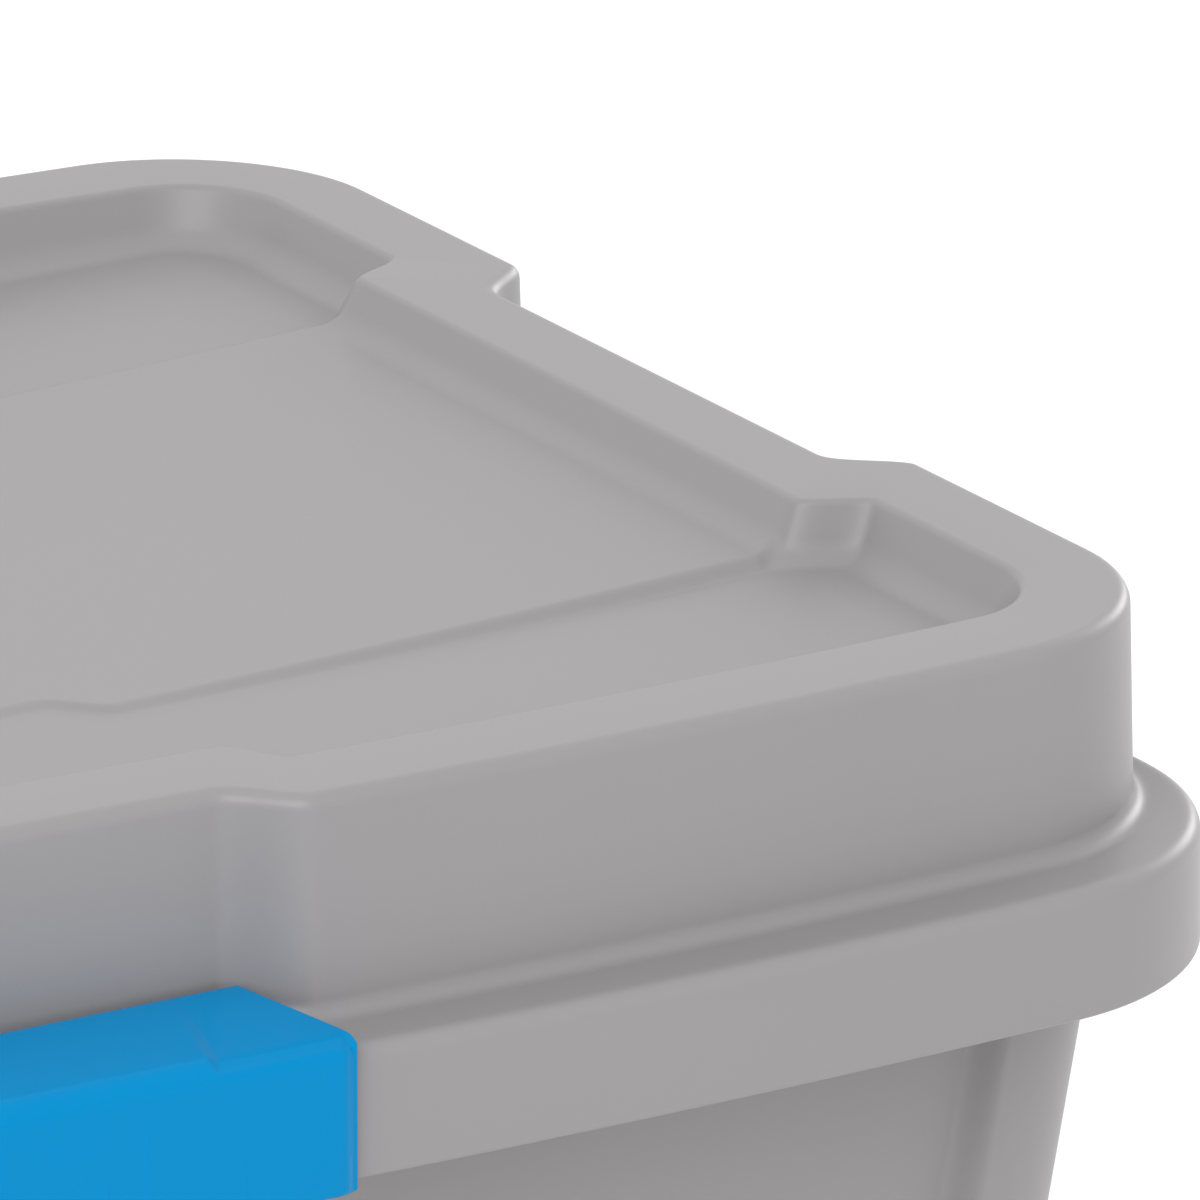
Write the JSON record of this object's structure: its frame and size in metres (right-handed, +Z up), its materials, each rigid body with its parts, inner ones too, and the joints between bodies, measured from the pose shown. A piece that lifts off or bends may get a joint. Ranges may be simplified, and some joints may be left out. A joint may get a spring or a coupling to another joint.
{
  "type": "storage tote with latched lift-off lid",
  "caption": "Grey plastic storage tote with a raised-rim, recessed lift-off lid held down by blue swing latches on its sides.",
  "frame": {"origin": "middle of the base, on the surface the tote stands on", "axes": "+X along the long side, +Y across to the back, +Z up through the lid"},
  "size_m": [0.5928, 0.406, 0.34],
  "materials": {
    "lid_grey": "fine satin texture",
    "tub_grey": "fine satin texture",
    "latch_blue": "glossy",
    "seal_rubber": "matte",
    "pin_steel": "brushed"
  },
  "bodies": {
    "tub": {"tub": "tub_grey", "hinge_pins_front": "pin_steel", "hinge_pins_right": "pin_steel", "hinge_pins_back": "pin_steel", "hinge_pins_left": "pin_steel"},
    "lid": {"lid": "lid_grey", "lid_seal": "seal_rubber"},
    "latch_front": {"latch_front": "latch_blue"},
    "latch_right": {"latch_right": "latch_blue"},
    "latch_back": {"latch_back": "latch_blue"},
    "latch_left": {"latch_left": "latch_blue"}
  },
  "joints": [
    {"name": "lid_lift", "type": "slide", "parent": "tub", "child": "lid", "axis": [0, 0, 1], "range_m": [0, 0.24]},
    {"name": "latch_front_swing", "type": "hinge", "parent": "tub", "child": "latch_front", "pos_m": [0, -0.1964, 0.2663], "axis": [1, 0, 0], "range_deg": [0, 135]},
    {"name": "latch_right_swing", "type": "hinge", "parent": "tub", "child": "latch_right", "pos_m": [0.2898, 0, 0.2663], "axis": [0, 1, 0], "range_deg": [0, 135]},
    {"name": "latch_back_swing", "type": "hinge", "parent": "tub", "child": "latch_back", "pos_m": [0, 0.1964, 0.2663], "axis": [-1, 0, 0], "range_deg": [0, 135]},
    {"name": "latch_left_swing", "type": "hinge", "parent": "tub", "child": "latch_left", "pos_m": [-0.2898, 0, 0.2663], "axis": [0, -1, 0], "range_deg": [0, 135]}
  ]
}
